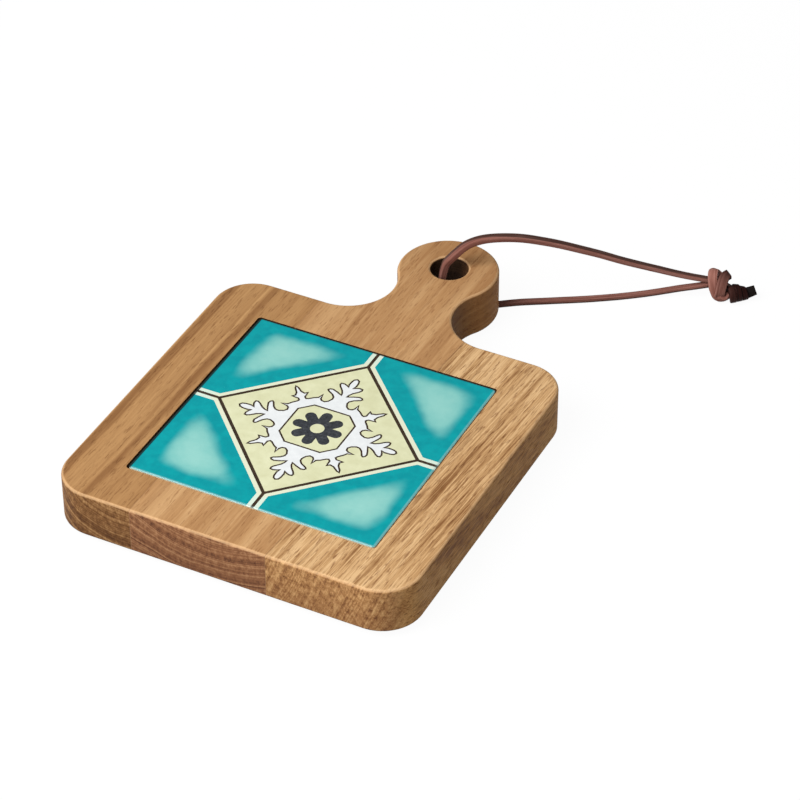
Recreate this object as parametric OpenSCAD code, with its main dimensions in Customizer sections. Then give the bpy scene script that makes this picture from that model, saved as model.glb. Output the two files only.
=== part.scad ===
// A kitchen trivet: a glazed wall tile let into a glued-up board of three hardwood staves,
// with a round-headed handle, four rubber feet and a knotted leather lace to hang it by.
// Seen from above, the handle points along +Y and the board's front edge lies along X.
// The origin is on the surface that the feet stand on, under the middle of the board and handle.

/* [Tile] */
// Edge length of the square tile
tile_size = 108; // [95:0.5:125]
// Thickness of the tile with its glaze
tile_t = 7; // [5:0.1:9]
// Radius of the tile's corners
tile_corner_r = 1.5; // [0.5:0.1:4]
// Thickness of the glaze layers
glaze_t = 0.3; // [0.2:0.05:0.5]
// Width over which the glaze slopes down at the tile's edge
glaze_slope = 0.4; // [0.2:0.05:0.8]
// Height of the tile's face above the wood
tile_proud = 0.5; // [0.3:0.05:1.5]
// Gap beside the tile at its front and right edges
gap_tight = 0.3; // [0.2:0.05:0.9]
// Gap beside the tile at its far and left edges
gap_wide = 1.2; // [0.4:0.05:2]
// Number of grooves across the tile's back
groove_count = 8; // [4:1:12]
// Width of a groove
groove_w = 5; // [2:0.5:7]
// Depth of a groove
groove_depth = 0.7; // [0.3:0.1:1.2]
// Radius of a dab of adhesive under the tile
dab_r = 10; // [6:0.5:14]
// Thickness of a dab
dab_t = 0.8; // [0.4:0.1:2]

/* [Tile pattern] */
// Width of the dark lines of the diamond
line_w = 1.4; // [0.6:0.1:2]
// Width of the fine dark lines round the ornament
fine_line_w = 0.75; // [0.3:0.05:0.9]
// Width of the cream band outside each dark line
band_w = 1.8; // [0.8:0.1:3]
// Radius of the flower's eye
eye_r = 2.9; // [2:0.1:4]
// Distance from the middle of the tile to the middle of its pattern, to the right
pattern_shift = 1.1; // [0:0.1:1.5]

/* [Board] */
// Thickness of the board
board_t = 20.8; // [15:0.1:28]
// Width of wood to the left of the pocket
rail_left = 23.3; // [20:0.1:35]
// Width of wood to the right of the pocket
rail_right = 22.8; // [20:0.1:35]
// Width of wood in front of the pocket
rail_front = 21.9; // [20:0.1:35]
// Width of wood behind the pocket
rail_far = 22; // [20:0.1:35]
// Radius of the board's corners
corner_r = 17; // [8:0.5:19]
// Radius of the eased edges
edge_r = 1.2; // [0.6:0.1:3]

/* [Staves] */
// Width of the left stave, across the middle of the board
left_stave_w = 39.2; // [30:0.1:48]
// Width of the right stave, across the middle of the board
right_stave_w = 53.6; // [46:0.1:58]
// Angle between the left glue line and the board's sides
left_skew = 1; // [0:0.1:2]
// Angle between the right glue line and the board's sides
right_skew = 3.5; // [2:0.1:5]
// Thickness of a glue line
glue_t = 0.2; // [0.1:0.05:0.4]

/* [Handle] */
// Length of the handle, from the board's far edge to its tip
handle_l = 64.8; // [60:0.1:68]
// Radius of the handle's round head
head_r = 21.6; // [19:0.1:24]
// Radius of the hollows that join the head to the board
neck_r = 20.6; // [18:0.1:23]
// Radius of the hole for the lace
hole_r = 8; // [7:0.1:10]
// Distance from the handle's tip to the middle of the hole
hole_inset = 20.5; // [18:0.1:23]
// Handle's centre line, to the right of the board's middle
handle_shift = 0.9; // [0:0.1:2]

/* [Feet] */
// Radius of a rubber foot
foot_r = 6; // [4:0.5:9]
// Height of a foot
foot_h = 3.2; // [3:0.1:6]
// Distance from the board's edges to the middle of a foot
foot_inset = 16; // [14:0.5:20]
// Radius of a foot's rounded lower edge
foot_edge_r = 0.8; // [0.4:0.1:1.5]

/* [Lace] */
// Width of the leather lace
lace_w = 3.2; // [2:0.1:3.6]
// Thickness of the lace
lace_t = 2.5; // [1.5:0.1:2.6]
// Corner cut off the lace's section
lace_corner = 0.5; // [0.2:0.1:0.6]

/* [Hidden] */
$fn = 96;

// How far cuts run past the faces that they open
cut_over = 2;

// An eased edge starts an edge radius in from the corner, and meets both faces at a slight angle
ease_share = 0.15;
ease_in = edge_r * (1 + ease_share);

// The pocket holds the tile and its gaps; the rails round it give the board's size
pocket = tile_size + gap_tight + gap_wide;
pocket_depth = tile_t + dab_t - tile_proud;
board_w = rail_left + pocket + rail_right;
board_d = rail_front + pocket + rail_far;
whole_l = board_d + handle_l;

// Levels, counted up from the surface that the feet stand on
board_bottom = foot_h;
board_top = foot_h + board_t;
pocket_floor = board_top - pocket_depth;
tile_bottom = pocket_floor + dab_t;
tile_top = tile_bottom + tile_t;

// Places in plan
board_left = -board_w / 2;
board_right = board_w / 2;
board_front = -whole_l / 2;
board_far = board_front + board_d;
pocket_x = board_left + rail_left + pocket / 2;
pocket_y = board_front + rail_front + pocket / 2;
tile_x = pocket_x + (gap_wide - gap_tight) / 2;
tile_y = pocket_y - (gap_wide - gap_tight) / 2;
handle_x = handle_shift;
tip_y = whole_l / 2;
head_y = tip_y - head_r;
hole_y = tip_y - hole_inset;

// Each hollow of the neck runs a hair past touching the board's far edge and the head
hollow_in = 0.05;
neck_y = board_far + neck_r - hollow_in;
neck_dx = sqrt(pow(head_r + neck_r - hollow_in, 2) - pow(head_y - neck_y, 2));
neck_turn = atan2(head_y - neck_y, neck_dx);

// Where the glue lines cross the middle of the board, and a length that outreaches the board
board_mid = (board_front + board_far) / 2;
left_seam = board_left + left_stave_w;
right_seam = board_right - right_stave_w;
far_out = board_w + whole_l;

// How much of the glaze's thickness its slope takes up, and sizes of the tile's pattern
glaze_drop_share = 0.8;
diamond_share = 0.823;
diamond_half = tile_size / 2 * diamond_share;
ornament_share = 0.65;
ornament_r = tile_size / 2 * ornament_share;
octagon_side_share = 0.365;
octagon_cut_share = 0.225;
petal_count = 8;
petal_reach_share = 0.305;
petal_r_share = 0.066;

// Half of one arm of the ornament, from the arm's tip round to the tip of the next corner leaf,
// as shares of the ornament's radius
arm_shares = [
    [0, 1], [0.03, 0.98], [0.042, 0.94], [0.045, 0.875], [0.03, 0.83],
    [0.06, 0.85], [0.1, 0.865], [0.135, 0.86], [0.14, 0.835], [0.12, 0.8],
    [0.07, 0.745], [0.045, 0.7], [0.037, 0.66], [0.11, 0.695], [0.17, 0.717],
    [0.205, 0.71], [0.22, 0.69], [0.205, 0.67], [0.135, 0.63], [0.1, 0.59],
    [0.095, 0.55], [0.12, 0.495], [0.155, 0.468], [0.195, 0.475], [0.218, 0.505],
    [0.23, 0.58], [0.25, 0.51], [0.295, 0.482], [0.345, 0.437], [0.37, 0.427],
    [0.395, 0.45], [0.4, 0.535], [0.43, 0.507], [0.48, 0.52], [0.545, 0.57], [0.582, 0.582]
];
arm_last = len(arm_shares) - 1;

// The lace's route, in millimetres: the upper run from the middle of the hole to the knot's mouth
upper_route = [
    [-2, 87.5, 13.5], [-2, 87.5, 17.5], [-1.5, 88, 22], [-0.5, 88.5, 26], [1.5, 89, 29],
    [4, 91, 32], [7, 93, 35], [12, 96.5, 37], [18.5, 100.5, 37.5], [26, 105.5, 36.5],
    [33, 110, 34.5], [40, 114.5, 32], [47.5, 119, 29], [55, 124, 25.5], [62.5, 128.5, 22],
    [70, 133.5, 18.5], [77, 138, 15.5], [84, 142.5, 12.5], [90, 146, 10.5], [95, 149, 9]
];
// The lower run, from the middle of the hole, out under the handle and along the table
lower_route = [
    [-2, 87.5, 13.5], [-2, 87.5, 10.5], [-2, 87.5, 7.5], [-1, 88, 5], [1, 89.5, 2.9], [3.5, 91.5, 1.7],
    [6.5, 93.5, 1.4], [12, 97.5, 1.4], [18.5, 102.5, 1.4], [25.5, 107.5, 1.4], [33, 112, 1.4],
    [40.5, 116.5, 1.4], [48, 121, 1.4], [55, 125.5, 1.4], [62.5, 130.5, 1.5], [70, 135.5, 1.9],
    [77, 140, 2.7], [84, 144, 4], [90, 146.5, 5.4], [95, 149, 6.4]
];
// The overhand knot starts at the mouth, where both runs enter it. Its line is given along the loop,
// across it and up from the mouth: in along the middle, round the right end, back underneath,
// up and over at the mouth, then down behind and out through its own turn to the short cut end
mouth = [95, 149, 7.7];
loop_heading = 32;
knot_route = [
    [0, 0, 0], [2.5, 0.3, 0], [5, 0.8, -0.4], [8, 0.6, -0.8], [11.2, -0.6, -1.8], [12.4, -3.2, -3.4],
    [10.4, -5.2, -5.3], [7, -5.3, -6], [4.2, -4.6, -4.4], [2.8, -3.8, -1.2], [2.8, -2.4, 2.5],
    [3.5, 1, 3.9], [4.6, 4.2, 1.6], [5.6, 4.5, -2.2], [6.4, 1.6, -4.8], [6.9, -1.7, -3.8],
    [7.2, -3.9, -0.6], [7.8, -3.2, 3], [8.8, -1.2, 6.4]
];
// The other strand's cut end, which leaves the knot to the right
tail_route = [[8, 2.4, -4.6], [11.5, 2.4, -4.8], [15, 1, -4.8], [20.5, -0.6, -4.4]];

// A square with round corners, in plan
module round_square(size_x, size_y, r) {
    square([size_x - 2 * r, size_y], center = true);
    square([size_x, size_y - 2 * r], center = true);
    for (sx = [-1, 1], sy = [-1, 1])
        translate([sx * (size_x / 2 - r), sy * (size_y / 2 - r)]) circle(r);
}

// The board in plan, with the block that its neck is cut from: the block's corners lie in the hollows
// and inside the head
module board_plan() {
    reach = head_r / 8;
    in_head = [(head_r - reach) * cos(neck_turn), head_y - (head_r - reach) * sin(neck_turn)];
    in_hollow = [neck_dx - (neck_r - reach) * cos(neck_turn), neck_y + (neck_r - reach) * sin(neck_turn)];
    translate([0, board_mid]) round_square(board_w, board_d, corner_r);
    translate([handle_x, 0]) polygon([
        [-neck_dx, board_far - corner_r], [neck_dx, board_far - corner_r], [neck_dx, board_far],
        in_hollow, in_head, [-in_head.x, in_head.y], [-in_hollow.x, in_hollow.y], [-neck_dx, board_far]
    ]);
}

// What a round-over bit takes off a square edge: the edge is at the origin, wood at -x and -y
module edge_waste() {
    difference() {
        translate([-ease_in, -ease_in]) square(ease_in + cut_over);
        translate([-ease_in, -ease_in]) circle(norm([ease_in - edge_r, ease_in]));
    }
}

// A cut of the given waste round a quarter turn of an outer corner, starting at a heading
module corner_cut(place, from, r) {
    translate([place.x, place.y, 0]) rotate([0, 0, from])
        rotate_extrude(angle = 90) translate([r, 0]) children();
}

// The bit's cut all round a hollow or a hole
module ring_cut(place, r) {
    translate([place.x, place.y, 0]) rotate_extrude() translate([r, 0]) mirror([1, 0]) edge_waste();
}

// A cut of the given waste along a straight side, starting at a place and running along a heading,
// with the piece on its left
module side_cut(place, heading, length) {
    translate([place.x, place.y, 0]) rotate([0, 0, heading]) rotate([90, 0, 90])
        linear_extrude(length) mirror([1, 0]) children();
}

// All cuts of the board's upper edge, with the edge at height zero
module edge_cuts() {
    in_x = board_w / 2 - corner_r;
    near_y = board_front + corner_r;
    away_y = board_far - corner_r;
    side_cut([-in_x, board_front], 0, 2 * in_x) edge_waste();
    side_cut([board_right, near_y], 90, away_y - near_y) edge_waste();
    side_cut([board_left, away_y], -90, away_y - near_y) edge_waste();
    side_cut([in_x, board_far], 180, in_x - handle_x - neck_dx) edge_waste();
    side_cut([handle_x - neck_dx, board_far], 180, in_x + handle_x - neck_dx) edge_waste();
    corner_cut([-in_x, near_y], 180, corner_r) edge_waste();
    corner_cut([in_x, near_y], 270, corner_r) edge_waste();
    corner_cut([in_x, away_y], 0, corner_r) edge_waste();
    corner_cut([-in_x, away_y], 90, corner_r) edge_waste();
    for (side = [-1, 1]) ring_cut([handle_x + side * neck_dx, neck_y], neck_r);
}

// The round head of the handle, eased above and below
module head() {
    translate([handle_x, head_y, board_bottom]) rotate_extrude() difference() {
        square([head_r, board_t]);
        translate([head_r, board_t]) edge_waste();
        translate([head_r, 0]) mirror([0, 1]) edge_waste();
    }
}

// The whole board as it leaves the bench: cut out, eased, drilled and pocketed
module board_blank() {
    difference() {
        union() {
            difference() {
                translate([0, 0, board_bottom]) linear_extrude(board_t) board_plan();
                for (side = [-1, 1]) translate([handle_x + side * neck_dx, neck_y, board_bottom - cut_over])
                    cylinder(r = neck_r, h = board_t + 2 * cut_over);
                translate([0, 0, board_top]) edge_cuts();
                translate([0, 0, board_bottom]) mirror([0, 0, 1]) edge_cuts();
            }
            head();
        }
        translate([handle_x, hole_y, board_bottom - cut_over]) cylinder(r = hole_r, h = board_t + 2 * cut_over);
        translate([0, 0, board_top]) ring_cut([handle_x, hole_y], hole_r);
        translate([0, 0, board_bottom]) mirror([0, 0, 1]) ring_cut([handle_x, hole_y], hole_r);
        translate([pocket_x, pocket_y, pocket_floor])
            linear_extrude(pocket_depth + cut_over) round_square(pocket, pocket, tile_corner_r);
    }
}

// Everything to the right of a glue line that crosses the board's middle at a seam, turned by a skew,
// from a distance to its right onwards
module right_of(seam, skew, from) {
    translate([seam, board_mid, 0]) rotate([0, 0, -skew])
        translate([from, -far_out, 0]) cube([2 * far_out, 2 * far_out, board_top + cut_over]);
}

module stave_left() {
    color([0.66, 0.44, 0.27]) difference() {
        board_blank();
        right_of(left_seam, left_skew, -glue_t / 2);
    }
}

module stave_middle() {
    color([0.76, 0.57, 0.38]) difference() {
        intersection() {
            board_blank();
            right_of(left_seam, left_skew, glue_t / 2);
        }
        right_of(right_seam, right_skew, -glue_t / 2);
    }
}

module stave_right() {
    color([0.73, 0.54, 0.33]) intersection() {
        board_blank();
        right_of(right_seam, right_skew, glue_t / 2);
    }
}

// The film of glue in a seam
module glue_line(seam, skew) {
    color([0.36, 0.22, 0.13]) difference() {
        intersection() {
            board_blank();
            right_of(seam, skew, -glue_t / 2);
        }
        right_of(seam, skew, glue_t / 2);
    }
}

module glue_line_left() { glue_line(left_seam, left_skew); }
module glue_line_right() { glue_line(right_seam, right_skew); }

// The fired clay of the tile, grooved across its back
module tile_body() {
    pitch = tile_size / groove_count;
    color([0.88, 0.8, 0.68]) translate([tile_x, tile_y, tile_bottom]) difference() {
        linear_extrude(tile_t - glaze_t) round_square(tile_size, tile_size, tile_corner_r);
        for (i = [0 : groove_count - 1])
            translate([(i + 1 / 2) * pitch - tile_size / 2 - groove_w / 2, -tile_size / 2 - cut_over, -cut_over])
                cube([groove_w, tile_size + 2 * cut_over, groove_depth + cut_over]);
    }
}

// What is missing from a square edge of the glaze: the edge is at the origin, glaze at -x and -y
module glaze_waste() {
    drop = glaze_t * glaze_drop_share;
    polygon([[-glaze_slope, 0], [0, -drop], [cut_over, -drop], [cut_over, cut_over], [-glaze_slope, cut_over]]);
}

// A layer of glaze on the tile's face, in a shape round the pattern's middle, sloped at the tile's edge
module glaze_layer() {
    half = tile_size / 2;
    reach = half - tile_corner_r;
    translate([tile_x, tile_y, tile_top]) difference() {
        translate([0, 0, -glaze_t]) linear_extrude(glaze_t) intersection() {
            round_square(tile_size, tile_size, tile_corner_r);
            translate([pattern_shift, 0]) children();
        }
        for (turn = [0 : 90 : 270]) rotate([0, 0, turn]) {
            side_cut([-reach, -half], 0, 2 * reach) glaze_waste();
            corner_cut([reach, -reach], 270, tile_corner_r) glaze_waste();
        }
    }
}

// A diamond in plan, grown by a width measured square to its sides
module diamond(grow) {
    half = diamond_half + grow * sqrt(2);
    polygon([[half, 0], [0, half], [-half, 0], [0, -half]]);
}

// Strips from the diamond's corners out past the tile's edges
module dividers(width) {
    length = tile_size / 2 + pattern_shift - diamond_half + cut_over;
    for (turn = [0 : 90 : 270]) rotate(turn)
        translate([diamond_half, -width / 2]) square([length, width]);
}

// The ornament's outline: each half arm, its mirror image, and four turns of the pair
arm = [for (p = arm_shares) p * ornament_r];
arm_back = [for (i = [arm_last - 1 : -1 : 1]) [arm[i].y, arm[i].x]];
quarter = concat(arm, arm_back);
outline = [for (turn = [0 : 90 : 270], p = quarter)
    [p.x * cos(turn) + p.y * sin(turn), p.y * cos(turn) - p.x * sin(turn)]];

// A closed outline, drawn clockwise, moved outwards by a distance with its long points held short
point_limit = 1.8;
function unit(v) = v / norm(v);
function outward(a, b) = let (d = unit(b - a)) [-d.y, d.x];
function moved(points, distance) = let (n = len(points)) [for (i = [0 : n - 1])
    let (
        before = outward(points[(i + n - 1) % n], points[i]),
        after = outward(points[i], points[(i + 1) % n]),
        way = unit(before + after)
    ) points[i] + way * distance * min(1 / (way * before), point_limit)];

// The octagon round the flower, grown by a width
module octagon(grow) {
    side = ornament_r * octagon_side_share + grow;
    cut = ornament_r * octagon_cut_share + grow * tan(22.5);
    polygon([[cut, side], [side, cut], [side, -cut], [cut, -side],
        [-cut, -side], [-side, -cut], [-side, cut], [-cut, side]]);
}

// The flower's round-ended petals, with the place of its eye
module flower() {
    petal_r = ornament_r * petal_r_share;
    straight = ornament_r * petal_reach_share - petal_r;
    for (i = [0 : petal_count - 1]) rotate(i * 360 / petal_count) {
        translate([0, -petal_r]) square([straight, 2 * petal_r]);
        translate([straight, 0]) circle(petal_r);
    }
}

// The four corner fields
module turquoise_glaze() {
    color([0.08, 0.6, 0.6]) glaze_layer() difference() {
        square(2 * tile_size, center = true);
        diamond(line_w / 2 + band_w);
        dividers(line_w + 2 * band_w);
    }
}

// The bands beside the lines, the diamond's ground and the flower's eye
module cream_glaze() {
    color([0.9, 0.88, 0.7]) glaze_layer() {
        difference() {
            union() {
                diamond(line_w / 2 + band_w);
                dividers(line_w + 2 * band_w);
            }
            difference() {
                diamond(line_w / 2);
                diamond(-line_w / 2);
            }
            dividers(line_w);
            polygon(moved(outline, fine_line_w / 2));
        }
        difference() {
            octagon(-fine_line_w / 2);
            flower();
        }
        circle(eye_r);
    }
}

// The ornament
module white_glaze() {
    color([0.93, 0.94, 0.95]) glaze_layer() difference() {
        polygon(moved(outline, -fine_line_w / 2));
        octagon(fine_line_w / 2);
    }
}

// The dark lines and the flower
module black_glaze() {
    color([0.16, 0.15, 0.14]) glaze_layer() {
        difference() {
            union() {
                diamond(line_w / 2);
                dividers(line_w);
            }
            diamond(-line_w / 2);
        }
        difference() {
            polygon(moved(outline, fine_line_w / 2));
            polygon(moved(outline, -fine_line_w / 2));
        }
        difference() {
            octagon(fine_line_w / 2);
            octagon(-fine_line_w / 2);
        }
        difference() {
            flower();
            circle(eye_r);
        }
    }
}

// Dabs of adhesive in the pocket, one in the middle and one near each corner
module tile_adhesive() {
    reach = tile_size / 4;
    color([0.93, 0.92, 0.88]) translate([tile_x, tile_y, pocket_floor]) {
        cylinder(r = dab_r, h = dab_t);
        for (sx = [-1, 1], sy = [-1, 1]) translate([sx * reach, sy * reach, 0]) cylinder(r = dab_r, h = dab_t);
    }
}

// One stick-on rubber foot, rounded at its lower edge
module foot(side_x, side_y) {
    place_x = side_x * (board_w / 2 - foot_inset);
    place_y = board_mid + side_y * (board_d / 2 - foot_inset);
    color([0.2, 0.19, 0.18]) translate([place_x, place_y, 0]) rotate_extrude() {
        square([foot_r - foot_edge_r, foot_h]);
        translate([0, foot_edge_r]) square([foot_r, foot_h - foot_edge_r]);
        intersection() {
            translate([foot_r - foot_edge_r, foot_edge_r]) circle(foot_edge_r);
            square([foot_r, foot_h]);
        }
    }
}

module foot_front_left() { foot(-1, -1); }
module foot_front_right() { foot(1, -1); }
module foot_far_left() { foot(-1, 1); }
module foot_far_right() { foot(1, 1); }

// The lace's section, anticlockwise: across the width, then through the thickness
function lace_section() = let (w = lace_w / 2, t = lace_t / 2, c = lace_corner) [
    [w, -t + c], [w, t - c], [w - c, t], [-w + c, t],
    [-w, t - c], [-w, -t + c], [-w + c, -t], [w - c, -t]
];

// The headings of a route at each of its points; the ends are cut square to the heading given for them
function headings(route, first, last) = let (n = len(route)) [for (i = [0 : n - 1])
    i == 0 ? unit(first) : i == n - 1 ? unit(last) : unit(route[i + 1] - route[i - 1])];

// The width's direction at each point, turned no more than the route turns
function widths(ways, way, i = 0) = let (w = unit(way - (way * ways[i]) * ways[i]))
    i == len(ways) - 1 ? [w] : concat([w], widths(ways, w, i + 1));

// The rings of the section along a route
function rings(route, ways, across, section) = [for (i = [0 : len(route) - 1])
    let (h = cross(ways[i], across[i])) each [for (s = section) route[i] + across[i] * s.x + h * s.y]];

// One closed tube through the rings
module tube(route, first_way, last_way, width_way) {
    section = lace_section();
    n = len(section);
    last = len(route) - 1;
    ways = headings(route, first_way, last_way);
    sides = [for (i = [0 : last - 1], k = [0 : n - 1]) let (a = i * n + k, b = i * n + (k + 1) % n)
        each [[a, a + n, b], [b, a + n, b + n]]];
    ends = [for (k = [1 : n - 2]) each [[0, k, k + 1], [last * n, last * n + k + 1, last * n + k]]];
    polyhedron(rings(route, ways, widths(ways, width_way), section), concat(sides, ends), convexity = 8);
}

// A route with one more point between each pair, on a smooth curve through them
function smoothed(route) = let (last = len(route) - 1) [for (i = [0 : last]) each i == last ? [route[i]] :
    let (before = route[max(i - 1, 0)], after = route[min(i + 2, last)])
    [route[i], (route[i] + route[i + 1]) * 9 / 16 - (before + after) / 16]];

loop_way = [cos(loop_heading), sin(loop_heading), 0];
loop_side = [-sin(loop_heading), cos(loop_heading), 0];

// Points given from the knot's mouth, in the part's own directions
function from_mouth(route) = [for (p = route) mouth + loop_way * p.x + loop_side * p.y + [0, 0, p.z]];

module lace_upper_run() {
    color([0.42, 0.25, 0.2]) tube(upper_route, [0, 0, 1], loop_way, loop_side);
}

module lace_lower_run() {
    color([0.4, 0.24, 0.19]) tube(lower_route, [0, 0, -1], loop_way, loop_side);
}

module lace_knot() {
    route = smoothed(from_mouth(knot_route));
    last = len(route) - 1;
    color([0.45, 0.27, 0.22]) tube(route, loop_way, route[last] - route[last - 1], loop_side);
}

module lace_long_tail() {
    route = from_mouth(tail_route);
    color([0.22, 0.13, 0.11]) tube(route, loop_way, loop_way, loop_side);
}

stave_left();
stave_middle();
stave_right();
glue_line_left();
glue_line_right();
tile_body();
turquoise_glaze();
cream_glaze();
white_glaze();
black_glaze();
tile_adhesive();
foot_front_left();
foot_front_right();
foot_far_left();
foot_far_right();
lace_upper_run();
lace_lower_run();
lace_knot();
lace_long_tail();
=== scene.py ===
import math
import bmesh
import bpy
from mathutils import Matrix, Vector, noise


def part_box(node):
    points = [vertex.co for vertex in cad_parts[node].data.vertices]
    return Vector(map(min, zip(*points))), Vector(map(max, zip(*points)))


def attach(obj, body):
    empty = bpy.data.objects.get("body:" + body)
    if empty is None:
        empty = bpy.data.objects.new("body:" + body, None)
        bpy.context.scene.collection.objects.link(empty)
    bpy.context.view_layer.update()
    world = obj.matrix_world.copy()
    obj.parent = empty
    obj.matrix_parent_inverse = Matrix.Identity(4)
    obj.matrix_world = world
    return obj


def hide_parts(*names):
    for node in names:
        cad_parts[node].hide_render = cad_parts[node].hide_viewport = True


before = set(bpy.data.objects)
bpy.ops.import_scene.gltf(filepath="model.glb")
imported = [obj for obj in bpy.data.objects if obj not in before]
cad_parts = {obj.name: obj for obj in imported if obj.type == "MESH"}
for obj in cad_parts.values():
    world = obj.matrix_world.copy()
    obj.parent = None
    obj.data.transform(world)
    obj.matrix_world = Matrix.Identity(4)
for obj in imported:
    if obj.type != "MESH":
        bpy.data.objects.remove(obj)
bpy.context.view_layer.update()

scene = bpy.context.scene
mm = 0.001
up = Vector((0, 0, 1))
print("frame loaded with", len(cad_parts), "nodes")

# The photograph's camera, in millimetres and degrees; near and far are in metres
camera = {"place": (479.16, -906.62, 824.65), "azimuth": 26.76, "elevation": 38.3, "roll": -0.16,
          "lens": 145, "sensor": 36, "near": 0.05, "far": 50}


def turned(degrees, axis):
    return Matrix.Rotation(math.radians(degrees), 4, axis)


def makeCamera():
    data = bpy.data.cameras.new("camera")
    data.lens, data.sensor_width = camera["lens"], camera["sensor"]
    data.clip_start, data.clip_end = camera["near"], camera["far"]
    holder = bpy.data.objects.new("camera", data)
    scene.collection.objects.link(holder)
    aim = turned(camera["azimuth"], "Z") @ turned(90 - camera["elevation"], "X")
    aim = aim @ turned(camera["roll"], "Z")
    holder.matrix_world = Matrix.Translation(Vector(camera["place"]) * mm) @ aim
    scene.camera = holder


makeCamera()
print("camera made")


# A socket of a shader that can be added, multiplied and so on
class Wire:
    def __init__(self, paint, socket):
        self.paint, self.socket = paint, socket

    def maths(self, operation, *values):
        return self.paint.node("ShaderNodeMath", {"operation": operation}, dict(enumerate(values)))

    def __add__(self, other):
        return self.maths("ADD", self, other)

    def __sub__(self, other):
        return self.maths("SUBTRACT", self, other)

    def __rsub__(self, other):
        return self.maths("SUBTRACT", other, self)

    def __mul__(self, other):
        return self.maths("MULTIPLY", self, other)

    def __truediv__(self, other):
        return self.maths("DIVIDE", self, other)

    def __abs__(self):
        return self.maths("ABSOLUTE", self)

    __radd__ = __add__
    __rmul__ = __mul__

    def squared(self):
        return self * self

    # 0 below low and 1 above high, or the other way round where high is the smaller
    def step(self, low, high):
        return self.paint.node("ShaderNodeMapRange", {"interpolation_type": "SMOOTHSTEP"},
                               {"Value": self, "From Min": low, "From Max": high})


# One material; every node comes from the node method
class Paint:
    def __init__(self, name):
        self.material = bpy.data.materials.new(name)
        self.material.use_nodes = True
        self.tree = self.material.node_tree
        self.tree.nodes.clear()

    def node(self, kind, settings, inputs, output=0):
        made = self.tree.nodes.new(kind)
        for key, value in settings.items():
            if key == "stops":
                while len(made.color_ramp.elements) < len(value):
                    made.color_ramp.elements.new(1)
                for element, (place, colour) in zip(made.color_ramp.elements, value):
                    element.position, element.color = place, (*colour, 1)
            else:
                setattr(made, key, value)
        for key, value in inputs.items():
            socket = made.inputs[key]
            if isinstance(value, Wire):
                self.tree.links.new(value.socket, socket)
            elif socket.type == "RGBA":
                socket.default_value = (*value, 1)
            else:
                socket.default_value = value
        return Wire(self, made.outputs[output]) if made.outputs else made

    def split(self, wire):
        first = self.node("ShaderNodeSeparateXYZ", {}, {0: wire})
        return [Wire(self, socket) for socket in first.socket.node.outputs]

    def join(self, x, y, z):
        return self.node("ShaderNodeCombineXYZ", {}, {0: x, 1: y, 2: z})

    # The piece's own coordinates, in millimetres
    def place(self):
        metres = self.node("ShaderNodeTexCoord", {}, {}, "Object")
        return self.node("ShaderNodeVectorMath", {"operation": "MULTIPLY"}, {0: metres, 1: (1 / mm,) * 3})

    def facing(self):
        return self.split(self.node("ShaderNodeTexCoord", {}, {}, "Normal"))

    def noise(self, where, scale, detail, rough, seed=0):
        return self.node("ShaderNodeTexNoise", {"noise_dimensions": "4D"},
                         {"Vector": where, "W": seed, "Scale": scale, "Detail": detail, "Roughness": rough})

    # Noise that is stretched by its own amount along x, y and z
    def stretched(self, where, stretch, detail, rough, seed):
        place = self.join(*(way * times for way, times in zip(where, stretch)))
        return self.noise(place, 1, detail, rough, seed)

    # Layers one behind the other, such as growth rings
    def layers(self, depth, seed):
        return self.node("ShaderNodeTexNoise", {"noise_dimensions": "1D"},
                         {"W": depth + seed * 20, "Scale": 1, "Detail": 3, "Roughness": 0.6})

    def ramp(self, wire, stops):
        return self.node("ShaderNodeValToRGB", {"stops": stops}, {0: wire})

    def blend(self, amount, under, over, how="MIX"):
        return self.node("ShaderNodeMix", {"data_type": "RGBA", "blend_type": how},
                         {0: amount, 6: under, 7: over}, 2)

    def bump(self, height, strength, distance):
        return self.node("ShaderNodeBump", {},
                         {"Height": height, "Strength": strength, "Distance": distance})

    def finish(self, **inputs):
        sockets = {key.replace("_", " "): value for key, value in inputs.items()}
        made = self.node("ShaderNodeBsdfPrincipled", {}, sockets)
        self.node("ShaderNodeOutputMaterial", {}, {"Surface": made})
        return self.material


# A colour as a screen shows it, 0 to 255
def seen(red, green, blue):
    shares = [part / 255 for part in (red, green, blue)]
    return tuple(((share + 0.055) / 1.055) ** 2.4 if share > 0.04 else share / 12.92 for share in shares)


def partWay(start, end, share):
    return start + (end - start) * share


# The lace, in millimetres and degrees. "slim" is the share of its section that is left at the knot. "turning"
# is how fast a strand in the knot turns its outer face outwards, at its fullest from "reach" off the core
lace = {"width": 3.2, "thickness": 2.5, "corner": 0.55, "heading": 32, "slim": 0.84, "rough": 0.015,
        "roughScale": 250, "seed": 5, "turning": 0.25, "reach": 4}
noise.seed_set(lace["seed"])  # otherwise each run would roughen the leather differently
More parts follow.
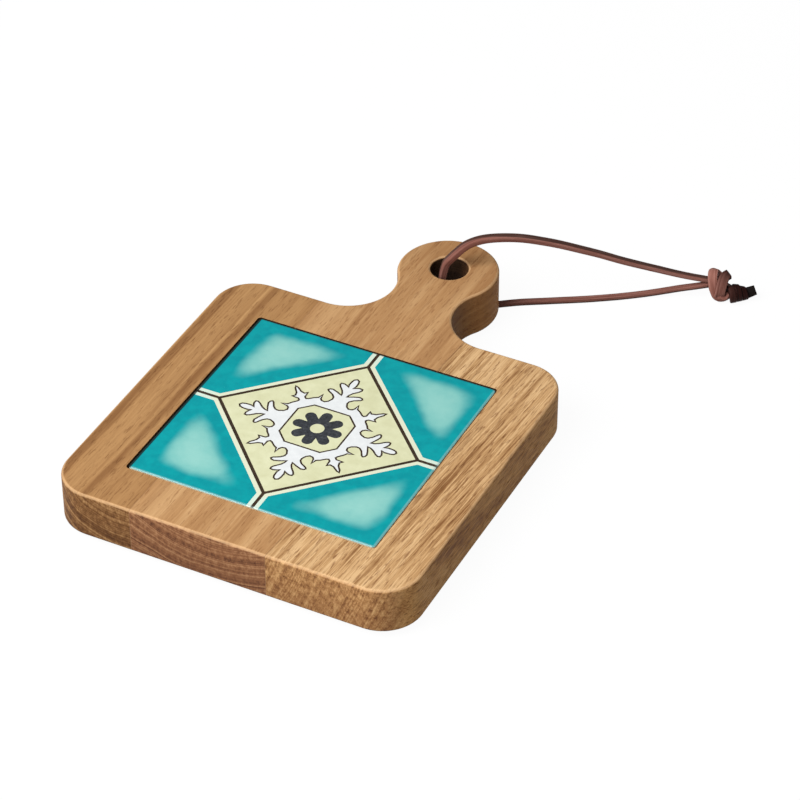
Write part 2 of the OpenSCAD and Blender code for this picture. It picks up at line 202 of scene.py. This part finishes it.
# Its run over the handle and its run under it, in metres, from the middle of the hole to the knot's mouth
upperRoute = [
    (-0.002, 0.0875, 0.0135), (-0.002, 0.0875, 0.0175), (-0.0015, 0.088, 0.022), (-0.0005, 0.0885, 0.026),
    (0.0015, 0.089, 0.029), (0.004, 0.091, 0.032), (0.007, 0.093, 0.035), (0.012, 0.0965, 0.037),
    (0.0185, 0.1005, 0.0375), (0.026, 0.1055, 0.0365), (0.033, 0.11, 0.0345), (0.04, 0.1145, 0.032),
    (0.0475, 0.119, 0.029), (0.055, 0.124, 0.0255), (0.0625, 0.1285, 0.022), (0.07, 0.1335, 0.0185),
    (0.077, 0.138, 0.0155), (0.084, 0.1425, 0.0125), (0.09, 0.146, 0.0105), (0.095, 0.149, 0.009)]
lowerRoute = [
    (-0.002, 0.0875, 0.0135), (-0.002, 0.0875, 0.0105), (-0.002, 0.0875, 0.0075), (-0.001, 0.088, 0.005),
    (0.001, 0.0895, 0.0029), (0.0035, 0.0915, 0.0017), (0.0065, 0.0935, 0.0014), (0.012, 0.0975, 0.0014),
    (0.0185, 0.1025, 0.0014), (0.0255, 0.1075, 0.0014), (0.033, 0.112, 0.0014), (0.0405, 0.1165, 0.0014),
    (0.048, 0.121, 0.0014), (0.055, 0.1255, 0.0014), (0.0625, 0.1305, 0.0015), (0.07, 0.1355, 0.0019),
    (0.077, 0.14, 0.0027), (0.084, 0.144, 0.004), (0.09, 0.1465, 0.0054), (0.095, 0.149, 0.0064)]
mouth = Vector((0.095, 0.149, 0.0077))
loopWay = turned(lace["heading"], "Z") @ Vector((1, 0, 0))
loopSide = up.cross(loopWay)


# Points between the given ones, on a smooth curve through them
def smoothed(route, rounds):
    points = [Vector(point) for point in route]
    for _ in range(rounds):
        padded = [points[0], *points, points[-1]]
        between = [(start + end) * 9 / 16 - (before + after) / 16
                   for before, start, end, after in zip(padded, padded[1:], padded[2:], padded[3:])]
        points = [point for pair in zip(points, between) for point in pair] + points[-1:]
    return points


# Where each ring of a strip stands: its width lies along x, its outer face looks along y
def stripPlaces(path, widthWay, ends, core):
    last = len(path) - 1
    places = []
    for i, point in enumerate(path):
        way = (path[min(i + 1, last)] - path[max(i - 1, 0)]).normalized()
        if i in (0, last) and ends[bool(i)]:
            way = ends[bool(i)]
        if core:
            out = point - core - loopWay * (point - core).dot(loopWay)
            pull = min(out.length / (lace["reach"] * mm), 1) * lace["turning"]
            widthWay = widthWay * (1 - pull) - out.normalized().cross(way) * pull
        widthWay = (widthWay - way * widthWay.dot(way)).normalized()
        turn = Matrix((widthWay, way.cross(widthWay), way)).transposed().to_4x4()
        places.append(Matrix.Translation(point) @ turn)
    return places


# A strip of leather: one section, drawn from ring to ring. The mesh keeps each point's place in the strip as
# "strip" and its darkness, painted shade together with darker leather, as "shade". Girth gives the shares of
# width and thickness at both ends
def sweepStrip(bm, path, widthWay, ends=(None, None), core=None, girth=((1, 1), (1, 1)), shade=(0, 0)):
    own = bm.verts.layers.float_vector.get("strip") or bm.verts.layers.float_vector.new("strip")
    dark = bm.verts.layers.float.get("shade") or bm.verts.layers.float.new("shade")
    oldVerts, oldFaces = set(bm.verts), set(bm.faces)
    grid = bmesh.ops.create_grid(bm, x_segments=1, y_segments=1, size=0.5)["verts"]
    bmesh.ops.scale(bm, vec=(lace["width"] * mm, lace["thickness"] * mm, 1), verts=grid)
    bmesh.ops.bevel(bm, geom=grid, affect="VERTICES", offset=lace["corner"] * mm, segments=3, profile=0.5,
                    material=-1)
    section = [vert for vert in bm.verts if vert not in oldVerts]
    face = next(item for item in bm.faces if item not in oldFaces)
    for vert in section:
        vert[own], vert[dark] = vert.co / mm, shade[0]
    places = stripPlaces(path, widthWay, ends, core)
    last = len(places) - 1
    for i, place in enumerate(places):
        wide, thick = (partWay(start, end, i / last) for start, end in zip(*girth))
        places[i] = place @ Matrix.Diagonal((wide, thick, 1, 1))
    bmesh.ops.transform(bm, matrix=places[0], verts=section)
    along = 0
    for i in range(1, last + 1):
        drawn = bmesh.ops.extrude_face_region(bm, geom=[face])["geom"]
        if i > 1:  # only the first ring keeps its face, as a cap
            bmesh.ops.delete(bm, geom=[face], context="FACES_ONLY")
        verts = [item for item in drawn if isinstance(item, bmesh.types.BMVert)]
        face = next(item for item in drawn if isinstance(item, bmesh.types.BMFace))
        bmesh.ops.transform(bm, matrix=places[i] @ places[i - 1].inverted(), verts=verts)
        along += (path[i] - path[i - 1]).length / mm
        for vert in verts:
            vert[own].z, vert[dark] = along, partWay(*shade, i / last)
    for vert in bm.verts:
        if vert not in oldVerts:
            vert.co += noise.noise_vector(vert.co * lace["roughScale"]) * lace["rough"] * mm
    bmesh.ops.recalc_face_normals(bm, faces=bm.faces)
    for item in bm.faces:
        item.smooth = len(item.verts) == 4
    return bm


# Lace leather: a dark skin on its outer face and redder cut sides, with fibres drawn along it. The skin
# starts "skinAt" high in the section and gets wider over "worn", in millimetres along the strip. A shade of
# 0 to 1 darkens the leather to "shaded", and one of 1 to 1.5 to "darkest": painted shade where a strand lies
# in shadow, together with the darker cut ends. Grain and fibre are stretched across, in depth and along, with
# their detail and roughness
leather = {"sides": [(0.3, seen(112, 64, 54)), (0.5, seen(162, 108, 95)), (0.7, seen(196, 146, 134))],
           "skin": [(0.3, seen(58, 38, 32)), (0.5, seen(88, 60, 52)), (0.7, seen(126, 96, 86))],
           "shaded": [(0.35, seen(12, 5, 3)), (0.65, seen(58, 24, 19))], "darkest": seen(16, 7, 5),
           "skinAt": (1.05, 1.4), "worn": (15, 60), "bump": (0.35, 0.0003),
           "grain": ((1.5, 1.5, 0.1), 3, 0.6), "fibre": ((1.6, 1.6, 0.03), 3, 0.6)}


def lacePaint():
    paint = Paint("laceLeather")
    own = paint.node("ShaderNodeAttribute", {"attribute_name": "strip"}, {}, "Vector")
    dark = paint.node("ShaderNodeAttribute", {"attribute_name": "shade"}, {}, "Fac")
    across, height, along = paint.split(own)
    grain = paint.stretched((across, height, along), *leather["grain"], 0)
    fibre = paint.stretched((across, height, along), *leather["fibre"], 3)
    skinned = height + across * 0.35 + (fibre - 0.5) * 0.5 + along.step(*leather["worn"]) * 0.55
    skinned = skinned.step(*leather["skinAt"])
    sides = paint.ramp(fibre * 0.7 + grain * 0.3, leather["sides"])
    skin = paint.ramp(grain * 0.5 + fibre * 0.5, leather["skin"])
    shaded = paint.ramp(grain * 0.5 + fibre * 0.5, leather["shaded"])
    colour = paint.blend(dark, paint.blend(skinned, sides, skin), shaded)
    colour = paint.blend(dark.step(1, 1.5), colour, leather["darkest"])
    return paint.finish(Base_Color=colour, Roughness=0.6 - skinned * 0.1, Specular_IOR_Level=0.1,
                        Normal=paint.bump(grain * 0.4 + fibre * 0.6, *leather["bump"]))


laceLeather = lacePaint()


def makeLacePiece(name, bm, node):
    mesh = bpy.data.meshes.new(name)
    bm.to_mesh(mesh)
    bm.free()
    mesh.materials.append(laceLeather)
    piece = bpy.data.objects.new(name, mesh)
    scene.collection.objects.link(piece)
    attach(piece, "loop")
    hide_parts(node)
    return piece


# The runs start inside the hole, one upwards and one downwards. Their skin lies on the loop's outer side
# Each run's shade is painted shade, darkest where the run leaves the hole
runs = {
    "laceUpperRun": {"route": upperRoute, "start": up, "widthWay": loopSide, "girth": 1.3,
                     "shade": (0.3, 0.1)},
    "laceLowerRun": {"route": lowerRoute, "start": -up, "widthWay": -loopSide, "girth": 0.86,
                     "shade": (0.7, 0.12)}}


def makeRun(name, node):
    run = runs[name]
    path = smoothed(run["route"], 3)
    girth = ((run["girth"],) * 2, (lace["slim"],) * 2)
    bm = sweepStrip(bmesh.new(), path, run["widthWay"], (run["start"], loopWay), girth=girth,
                    shade=run["shade"])
    return makeLacePiece(name, bm, node), path


upperRun, upperPath = makeRun("laceUpperRun", "lace_upper_run")
lowerRun, lowerPath = makeRun("laceLowerRun", "lace_lower_run")

# The shade of the front turn, the stub, the coil and the cut tail is painted shade together with darker cut
# leather
# The knot's strands, in metres along the loop, across it and up from the mouth. The runs go in side by side
upperIn = [
    (0, 0, 0.0013), (0.0015, -0.0001, 0.0012), (0.0032, -0.0004, 0.0007), (0.005, -0.0008, 0),
    (0.007, -0.0012, -0.001), (0.0095, -0.0018, -0.0026)]
lowerIn = [
    (0, 0, -0.0013), (0.0015, -0.0001, -0.0014), (0.0032, -0.0005, -0.0019), (0.005, -0.001, -0.0026),
    (0.0075, -0.0018, -0.0034), (0.0105, -0.0022, -0.004)]
knotCore = (0, -0.0015, -0.001)
# The turn that wraps the mouth, rounds the bottom in front and ends inside the coil
frontTurn = {"girth": ((1.45, 1), (0.95, 0.9)), "shade": (0, 0.1), "route": [
    (0.0048, 0.0026, 0.0004), (0.0036, 0.0026, 0.003), (0.0024, 0.001, 0.0044),
    (0.0016, -0.0012, 0.0042), (0.0013, -0.003, 0.0024), (0.0016, -0.0043, -0.0002),
    (0.0026, -0.0052, -0.003), (0.0046, -0.0056, -0.0048), (0.0068, -0.0054, -0.005),
    (0.0086, -0.005, -0.0032), (0.0094, -0.0046, -0.0022), (0.0104, -0.004, -0.0024)]}
# The cut end that comes up through it
stub = {"girth": ((1.45, 0.9), (1.35, 1)), "shade": (-0.25, 1), "route": [
    (0.0044, -0.0024, -0.0054), (0.0041, -0.0046, -0.0042), (0.0041, -0.006, -0.0018),
    (0.0045, -0.0058, 0.001), (0.0054, -0.0046, 0.0034), (0.0066, -0.0032, 0.0047),
    (0.0083, -0.0024, 0.0052)]}
# Three more turns round both strands, in degrees and metres. The radius and the axis change from 0 to
# "settled" degrees, and both ends dive in
coil = {"from": -180, "to": 900, "step": 30, "settled": 720, "dive": (620, 120),
        "start": 0.0093, "pitch": 0.0027, "radius": (0.0031, 0.0017),
        "across": (-0.0051, -0.0043), "up": (-0.0029, -0.0039),
        "girth": ((0.94, 1.2), (0.86, 1)), "shade": (0.9, 1.15)}
# The other cut end, which comes out of the coil
cutTail = {"girth": ((1.8, 1), (1.3, 1)), "shade": (1.45, 1.5), "route": [
    (0.0105, -0.0036, -0.0046), (0.0138, -0.0041, -0.0048), (0.0168, -0.0041, -0.0038),
    (0.02, -0.0039, -0.0028)]}
# Where the photograph looks at the knot from, as shares across the loop and up
eyeWay = (-0.785, 0.62)


def fromMouth(*route):
    return [mouth + loopWay * x + loopSide * y + up * z for x, y, z in route]


def coilRoute():
    front = math.degrees(math.atan2(eyeWay[1], eyeWay[0]))
    points = []
    for turn in range(coil["from"], coil["to"] + 1, coil["step"]):
        angle = math.radians(front + turn)
        share = min(max(turn / coil["settled"], 0), 1)
        radius, across, rise = (partWay(*coil[key], share) for key in ("radius", "across", "up"))
        dive = min((turn - coil["from"]) / coil["dive"][0], (coil["to"] - turn) / coil["dive"][1])
        radius *= min(0.5 + dive, 1)
        points.append((coil["start"] + coil["pitch"] * turn / 360, across + radius * math.cos(angle),
                       rise + radius * math.sin(angle)))
    return points


def makeKnot():
    bm = bmesh.new()
    entry = ((lace["slim"],) * 2,) * 2
    for route, widthWay in ((upperIn, loopSide), (lowerIn, -loopSide)):
        sweepStrip(bm, smoothed(fromMouth(*route), 2), widthWay, (loopWay, None), girth=entry)
    core = fromMouth(knotCore)[0]
    for strand in (frontTurn, stub):
        sweepStrip(bm, smoothed(fromMouth(*strand["route"]), 3), loopWay, core=core, girth=strand["girth"],
                   shade=strand["shade"])
    coilCore = fromMouth((0, sum(coil["across"]) / 2, sum(coil["up"]) / 2))[0]
    sweepStrip(bm, smoothed(fromMouth(*coilRoute()), 2), -loopWay, core=coilCore, girth=coil["girth"],
               shade=coil["shade"])
    return makeLacePiece("laceKnot", bm, "lace_knot")


def makeTail():
    widthWay = loopSide * eyeWay[1] - up * eyeWay[0]
    path = smoothed(fromMouth(*cutTail["route"]), 3)
    bm = sweepStrip(bmesh.new(), path, widthWay, girth=cutTail["girth"], shade=cutTail["shade"])
    return makeLacePiece("laceTail", bm, "lace_long_tail")


knot, tail = makeKnot(), makeTail()


def lineLength(path):
    return sum((end - start).length for start, end in zip(path, path[1:]))


for run, path in ((upperRun, upperPath), (lowerRun, lowerPath)):
    lineLength(path)
    print(run.name, "made,", round(lineLength(path), 3), "m long")

# The three staves, in millimetres: the slant of the grain in degrees, where the heart of the tree lay, how
# close the grain is across the board and how short along it, its "spread" of tones, which is narrow where the
# contrast is strong, how strongly pores, bands, fine grain and specks show, how much lighter the far and near
# ends are, the colours of the face and of the cut ends, and the stripes along the board, with their middle,
# half width and strength
staves = {
    "stave_left": {
        "skew": 1, "heart": (-38, 52), "seed": 1, "close": 0.9, "short": 0.03, "spread": 0.14,
        "pores": 1, "bands": 0.4, "fine": 0.3, "specks": 0.42, "ends": 0,
        "light": seen(200, 155, 104), "mid": seen(175, 130, 84), "dark": seen(136, 93, 56),
        "endLight": seen(196, 150, 100), "endMid": seen(140, 97, 58), "endDark": seen(84, 52, 31),
        "lightStripes": [(-66, 7, 0.4), (-45, 5, 0.15)],
        "darkStripes": [(-58, 3, 0.6), (-75, 4, 0.3), (-61.8, 0.8, 0.3), (-52, 6, 0.12)]},
    "stave_middle": {
        "skew": 1, "heart": (-4, 84), "seed": 2, "close": 0.9, "short": 0.03, "spread": 0.15,
        "pores": 1, "bands": 0.4, "fine": 0.3, "specks": 0.38, "ends": 0,
        "light": seen(220, 178, 128), "mid": seen(190, 144, 97), "dark": seen(152, 106, 66),
        "endLight": seen(198, 148, 106), "endMid": seen(156, 106, 72), "endDark": seen(94, 58, 42),
        "lightStripes": [(-31, 9, 0.4), (11, 3, 0.35)],
        "darkStripes": [(2.5, 1.2, 0.4), (-34.5, 0.6, 0.3), (-8, 9, 0.15), (18, 6, 0.2)]},
    "stave_right": {
        "skew": 4, "heart": (-90, 64), "seed": 3, "close": 1.7, "short": 0.05, "spread": 0.08,
        "pores": 1.6, "bands": 0.25, "fine": 0.5, "specks": 0.55, "ends": 0.028,
        "light": seen(228, 188, 138), "mid": seen(198, 154, 105), "dark": seen(136, 92, 54),
        "endLight": seen(232, 184, 126), "endMid": seen(190, 138, 88), "endDark": seen(118, 74, 46),
        "lightStripes": [(43, 2.5, 0.4), (57, 3, 0.3)],
        "darkStripes": [(38.5, 0.8, 0.5), (30, 2.4, 0.25), (24, 1, 0.4), (63, 1, 0.35)]}}
# What the staves share: the tint of their sides, the painted highlight on the eased edges, the painted shade
# in the pocket and the hole, how dark the handle's head is, and the painted shade on the low part of the cut
# ends and on the neck's flanks
wood = {"sideTint": (1, 0.86, 0.66), "edgeHighlight": seen(232, 190, 142), "cutShade": (0.015, 0.009, 0.006),
        "headFrom": (60, 100), "headDark": 0.35, "lowFrom": (20, 4), "lowShade": 0.28,
        "flankShade": seen(62, 38, 24), "flankShadeAmount": 0.7, "bump": (0.35, 0.0003)}
# The layers of figure: how they are stretched across, along and down through the board, with their detail and
# roughness. The last two are on the cut ends
figure = {"wander": ((1 / 34, 1 / 150, 1 / 34), 2, 0.5), "broad": ((1 / 11, 1 / 45, 1 / 11), 2, 0.5),
          "fibre": ((3, 0.09, 3), 2, 0.5), "dashes": ((1.3, 0.16, 1.3), 3, 0.6),
          "specks": ((0.5, 1, 0.35), 5, 0.78), "pits": ((1.5, 1, 1.5), 3, 0.7)}
# Where the painted shade on the neck's flanks starts, is darkest and ends along the board; the handle's hole;
# the tile's pocket
neck = {"from": 44, "middle": 54, "until": 92}
hole = {"x": 0.9, "y": 88.6, "rim": 8.35, "soft": 0.3}
pocket = {"margin": 2.5, "soft": 0.2}


# A node's middle and its half size, in millimetres
def middleOf(node):
    low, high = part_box(node)
    return (low + high) / 2 / mm, (high - low) / 2 / mm


boardMiddle = middleOf("stave_left")[0]
tileMiddle, tileHalf = middleOf("tile_body")


# 1 in the tile's pocket and in the handle's hole, where painted shade darkens the bare wood
def insideCuts(x, y):
    reach, soft = tileHalf.x + pocket["margin"], pocket["soft"]
    inPocket = (abs(x - tileMiddle.x).step(reach + soft, reach - soft)
                * abs(y - tileMiddle.y).step(reach + soft, reach - soft))
    away = (x - hole["x"]).squared() + (y - hole["y"]).squared()
    inHole = away.step(hole["rim"] ** 2, (hole["rim"] - hole["soft"]) ** 2)
    return inPocket.maths("MAXIMUM", inPocket, inHole)


def woodPaint(name, look):
    paint = Paint(name)
    realX, y, z = paint.split(paint.place())
    nx, ny, nz = paint.facing()
    seed, spread, close, speckled = look["seed"], look["spread"], look["close"], look["specks"]
    x = realX - (y - boardMiddle.y) * math.tan(math.radians(look["skew"]))
    wander = paint.stretched((x, y, z), *figure["wander"], seed) - 0.5

    # Growth rings round the heart, and grain along the board
    fromX, fromZ = x - look["heart"][0] + wander * 9, z - look["heart"][1] + wander * 5
    square = fromX.squared() + fromZ.squared()
    ring = square.maths("SQRT", square)
    bands = paint.layers(ring * 0.3, seed)
    fine = paint.stretched((x, y, z), (close, look["short"], close), 4, 0.62, seed)
    fibre = paint.stretched((x, y, z), *figure["fibre"], seed)
    broad = paint.stretched((x, y, z), *figure["broad"], seed + 9)
    rest = 1 - look["bands"] - look["fine"]
    tone = bands * look["bands"] + fine * look["fine"] + (fibre * 0.35 + broad * 0.65) * rest
    tone = tone + abs(y - boardMiddle.y).step(25, 75) * look["ends"]
    colour = paint.ramp(tone, [(0.5 - spread, look["dark"]), (0.5, look["mid"]),
                               (0.5 + spread, look["light"])])
    for stripes, stripeColour in (("lightStripes", look["light"]), ("darkStripes", look["dark"])):
        for middle, half, strength in look[stripes]:
            inStripe = abs(x - middle + wander * 6).step(half, 0)
            colour = paint.blend(inStripe * strength, colour, stripeColour)
    colour = paint.blend(y.step(*wood["headFrom"]) * wood["headDark"], colour, look["dark"])
    dashes = paint.stretched((x, y, z), *figure["dashes"], seed + 4)
    pores = (dashes + (fine - 0.5) * 0.4).step(0.53, 0.68) * look["pores"]
    colour = paint.blend(pores * 0.4, colour, look["dark"], "MULTIPLY")

    # The cut ends show the rings, with specks and pits
    rings = paint.layers(ring * 1.1, seed)
    specks = paint.stretched((x, seed, z), *figure["specks"], seed + 5)
    pits = paint.stretched((x, seed, z), *figure["pits"], seed + 6).step(0.56, 0.68)
    endTone = (bands * 0.55 + rings * 0.45) * (1 - speckled) + ((specks - 0.5) * 1.25 + 0.5) * speckled
    endColour = paint.ramp(endTone, [(0.39, look["endDark"]), (0.5, look["endMid"]),
                                     (0.61, look["endLight"])])
    endColour = paint.blend(pits * speckled, endColour, look["endDark"])
    # Painted shade: the cut ends darker towards the bottom
    endColour = paint.blend(z.step(*wood["lowFrom"]) * wood["lowShade"], endColour, look["endDark"])

    # Which way a face looks picks its colour; then the painted highlight on the eased edges, and the painted
    # shade in the cuts and on the neck's flanks
    sideColour = paint.blend(1, colour, wood["sideTint"], "MULTIPLY")
    colour = paint.blend(abs(nx).step(0.3, 0.9), colour, sideColour)
    colour = paint.blend(abs(ny).step(0.45, 0.85), colour, endColour)
    cuts = insideCuts(realX, y)
    # Painted highlight: a paler line along the eased edges, broken by specks
    edgeHighlightMask = nz.step(0.25, 0.55) * nz.step(0.98, 0.9) * (0.25 + specks * 0.5) * (1 - cuts)
    colour = paint.blend(edgeHighlightMask, colour, wood["edgeHighlight"])
    # Painted shade on the walls of the pocket and the hole
    cutShadeMask = cuts * nz.step(0.98, 0.85) * (0.93 - nx.step(0, -0.7) * 0.25)
    colour = paint.blend(cutShadeMask, colour, wood["cutShade"])
    # Painted shade on the steep flanks of the neck
    flankShade = y.step(neck["from"], neck["middle"]) * y.step(neck["until"], neck["middle"]) * nz.step(0.6, 0.2)
    colour = paint.blend(flankShade * wood["flankShadeAmount"], colour, wood["flankShade"])
    relief = fibre * 0.4 + fine * 0.3 - pores * 0.6
    return paint.finish(Base_Color=colour, Roughness=0.58 + pores * 0.12, Specular_IOR_Level=0.1,
                        Normal=paint.bump(relief, *wood["bump"]))


def dress(node, material):
    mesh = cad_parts[node].data
    mesh.materials.clear()
    mesh.materials.append(material)


for node, look in staves.items():
    dress(node, woodPaint(node.replace("stave_", "wood"), look))
print("staves dressed")

# The tile's face, in millimetres: the airbrushed corners with their soft edges, the pattern in the diamond,
# and how far in from the tile's edges its rims lie
patternMiddle = middleOf("white_glaze")[0]
tile = {"side": 46.2, "slant": 60.2, "rounded": 14, "shift": (1.7, 0.8), "soft": 2.5,
        "diamond": 44.4, "bandFrom": 2.6, "bandUntil": 5, "flower": 11.5,
        "thinRim": (1.2, 0.4), "leftRim": (1.2, 0.8), "leftShade": 0.92, "farRim": (0.8, 0.5), "farShade": 0.5,
        "gloss": 0.16, "specular": 0.3, "bump": (0.25, 0.0006)}
glaze = {"edge": seen(0, 149, 158), "field": seen(2, 162, 168), "spray": seen(120, 196, 190),
         "pale": seen(152, 212, 203), "bandWhite": seen(220, 236, 219), "bandCream": seen(230, 233, 206),
         "cream": [(0.3, seen(216, 216, 174)), (0.7, seen(230, 231, 192))],
         "white": [(0.3, seen(230, 233, 234)), (0.7, seen(240, 243, 243))],
         "flower": [(0.3, seen(42, 44, 48)), (0.6, seen(66, 69, 74)), (0.8, seen(96, 99, 102))],
         "lines": [(0.3, seen(46, 36, 26)), (0.7, seen(74, 58, 44))],
         "clay": seen(188, 190, 168), "rim": seen(170, 210, 205), "shaded": seen(8, 14, 14)}


# What all the glazes share: they are thin at the tile's front and right rim and carry painted shade by the gap
# at its left and far rim, pale clay shows at its sides, and the gloss has faint waves and specks
def glazeFinish(paint, place, colour, rim=0.4):
    x, y = paint.split(place)[:2]
    nz = paint.facing()[2]
    towardsRight, towardsFront = x - tileMiddle.x, tileMiddle.y - y
    outer = towardsRight.maths("MAXIMUM", towardsRight, towardsFront)
    thin = outer.step(*(tileHalf.x - inset for inset in tile["thinRim"]))
    colour = paint.blend(thin * rim, colour, glaze["rim"])
    # Painted shade along the left and far rim, by the gap
    left = towardsRight.step(*(inset - tileHalf.x for inset in tile["leftRim"])) * tile["leftShade"]
    far = towardsFront.step(*(inset - tileHalf.y for inset in tile["farRim"])) * tile["farShade"]
    shaded = left.maths("MAXIMUM", left, far)
    colour = paint.blend(shaded, colour, glaze["shaded"])
    colour = paint.blend(nz.step(0.6, 0.3), colour, glaze["clay"])
    waves = paint.noise(place, 0.14, 2, 0.5, 5)
    specks = paint.noise(place, 1.6, 2, 0.5, 6).step(0.74, 0.8)
    return paint.finish(Base_Color=colour, Roughness=shaded * 0.7 + specks * 0.3 + tile["gloss"],
                        Specular_IOR_Level=tile["specular"], Normal=paint.bump(waves, *tile["bump"]))


def turquoisePaint():
    paint = Paint("turquoiseGlaze")
    place = paint.place()
    drift = paint.noise(place, 0.07, 2, 0.5, 1) - 0.5
    awayX, awayY = (abs(way - middle - shift)
                    for way, middle, shift in zip(paint.split(place)[:2], tileMiddle, tile["shift"]))
    slant = (awayX + awayY - tile["slant"]) / math.sqrt(2)
    inside = slant.maths("SMOOTH_MIN", slant, tile["side"] - awayX, tile["rounded"])
    inside = inside.maths("SMOOTH_MIN", inside, tile["side"] - awayY, tile["rounded"]) + drift * 5 + 0.6
    mottle = paint.noise(place, 0.25, 3, 0.55, 2)
    field = paint.blend(mottle.step(0.3, 0.7), glaze["edge"], glaze["field"])
    misted = paint.blend((inside + mottle * 6).step(1, 12), glaze["spray"], glaze["pale"])
    return glazeFinish(paint, place, paint.blend(inside.step(-tile["soft"], tile["soft"]), field, misted))


# The ground inside the diamond, and the paler bands outside it
def creamPaint():
    paint = Paint("creamGlaze")
    place = paint.place()
    x, y = paint.split(place)[:2]
    ground = paint.ramp(paint.noise(place, 0.2, 3, 0.6, 3), glaze["cream"])
    away, edge = abs(x - patternMiddle.x) + abs(y - patternMiddle.y), tile["diamond"]
    bands = paint.blend(away.step(edge + tile["bandFrom"], edge + tile["bandUntil"]),
                        glaze["bandCream"], glaze["bandWhite"])
    return glazeFinish(paint, place, paint.blend(away.step(edge - 0.4, edge + 0.4), ground, bands))


def whitePaint():
    paint = Paint("whiteGlaze")
    place = paint.place()
    return glazeFinish(paint, place, paint.ramp(paint.noise(place, 0.4, 3, 0.6, 3), glaze["white"]), 0)


# Brown lines, and a bluer flower in the middle
def blackPaint():
    paint = Paint("blackGlaze")
    place = paint.place()
    x, y = paint.split(place)[:2]
    mottle = paint.noise(place, 0.9, 3, 0.6, 3)
    away = (x - patternMiddle.x).squared() + (y - patternMiddle.y).squared()
    flower, brown = paint.ramp(mottle, glaze["flower"]), paint.ramp(mottle, glaze["lines"])
    colour = paint.blend(away.step(tile["flower"] ** 2, (tile["flower"] + 1) ** 2), flower, brown)
    return glazeFinish(paint, place, colour, 0.2)


dress("turquoise_glaze", turquoisePaint())
dress("cream_glaze", creamPaint())
dress("white_glaze", whitePaint())
dress("black_glaze", blackPaint())
print("glazes dressed")

# The plain finishes: the scale, detail and roughness of their mottling, its colours, and the bump it makes
plain = {
    "woodGlue": {
        "nodes": ["glue_line_left", "glue_line_right"], "mottle": (0.7, 3, 0.6), "roughness": 0.55,
        "stops": [(0.3, seen(140, 100, 64)), (0.7, seen(172, 128, 86))]},
    "firedClay": {
        "nodes": ["tile_body"], "mottle": (1.8, 4, 0.65), "roughness": 0.85, "bump": (0.2, 0.0001),
        "stops": [(0.3, seen(212, 196, 164)), (0.7, seen(234, 222, 196))]},
    "tileAdhesive": {
        "nodes": ["tile_adhesive"], "mottle": (0.5, 4, 0.6), "roughness": 0.7, "bump": (0.4, 0.0004),
        "stops": [(0.3, seen(214, 212, 204)), (0.7, seen(236, 235, 230))]},
    "footRubber": {
        "nodes": [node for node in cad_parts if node.startswith("foot_")],
        "mottle": (2.4, 4, 0.6), "roughness": 0.78, "bump": (0.4, 0.0002),
        "stops": [(0.35, seen(34, 33, 32)), (0.8, seen(62, 60, 58))]}}


def plainPaint(name, look):
    paint = Paint(name)
    mottle = paint.noise(paint.place(), *look["mottle"])
    relief = {"Normal": paint.bump(mottle, *look["bump"])} if "bump" in look else {}
    return paint.finish(Base_Color=paint.ramp(mottle, look["stops"]), Roughness=look["roughness"], **relief)


for name, look in plain.items():
    material = plainPaint(name, look)
    for node in look["nodes"]:
        dress(node, material)
print("glue, clay, adhesive and feet dressed")

# Floor and world: "pale" is the floor's own colour, "seenWhite" and "glow" whiten it for the camera only
studio = {"floor": 8, "ambient": 0.2, "pale": 0.18, "seenWhite": 0.72, "glow": 1.33}
# The lamps: the way that each one stands from the middle, how far in metres, and its size and power
lamps = {"key": {"way": (-0.28, -0.57, 0.77), "distance": 1.6, "size": 1.4, "watts": 32},
         "fill": {"way": (0.95, -0.25, 0.3), "distance": 1.6, "size": 1.2, "watts": 2.2}}


def floorPaint():
    paint = Paint("floor")
    rays = paint.node("ShaderNodeLightPath", {}, {})
    fromCamera, glossy, through = (Wire(paint, rays.socket.node.outputs[name])
                                   for name in ("Is Camera Ray", "Is Glossy Ray", "Is Transmission Ray"))
    seenRay = fromCamera.maths("MAXIMUM", fromCamera, glossy.maths("MAXIMUM", glossy, through))
    pale = paint.node("ShaderNodeBsdfDiffuse", {}, {"Color": (studio["pale"],) * 3})
    white = paint.node("ShaderNodeEmission", {}, {"Color": (1, 1, 1), "Strength": studio["glow"]})
    mixed = paint.node("ShaderNodeMixShader", {}, {0: seenRay * studio["seenWhite"], 1: pale, 2: white})
    paint.node("ShaderNodeOutputMaterial", {}, {"Surface": mixed})
    return paint.material


def makeFloor():
    bm = bmesh.new()
    bmesh.ops.create_circle(bm, cap_ends=True, segments=64, radius=studio["floor"])
    mesh = bpy.data.meshes.new("floor")
    bm.to_mesh(mesh)
    bm.free()
    mesh.materials.append(floorPaint())
    floor = bpy.data.objects.new("floor", mesh)
    scene.collection.objects.link(floor)


def makeWorld():
    scene.world = bpy.data.worlds.new("studio")
    scene.world.use_nodes = True
    inputs = scene.world.node_tree.nodes["Background"].inputs
    inputs["Color"].default_value = (1, 1, 1, 1)
    inputs["Strength"].default_value = studio["ambient"]


def makeLamp(name, lamp):
    data = bpy.data.lights.new(name, "AREA")
    data.shape, data.size, data.energy = "DISK", lamp["size"], lamp["watts"]
    holder = bpy.data.objects.new(name, data)
    scene.collection.objects.link(holder)
    way = Vector(lamp["way"]).normalized()
    aim = way.to_track_quat("Z", "Y").to_matrix().to_4x4()
    holder.matrix_world = Matrix.Translation(way * lamp["distance"]) @ aim


makeFloor()
makeWorld()
for name, lamp in lamps.items():
    makeLamp(name, lamp)
print("studio made")

scene.view_settings.view_transform = "Standard"
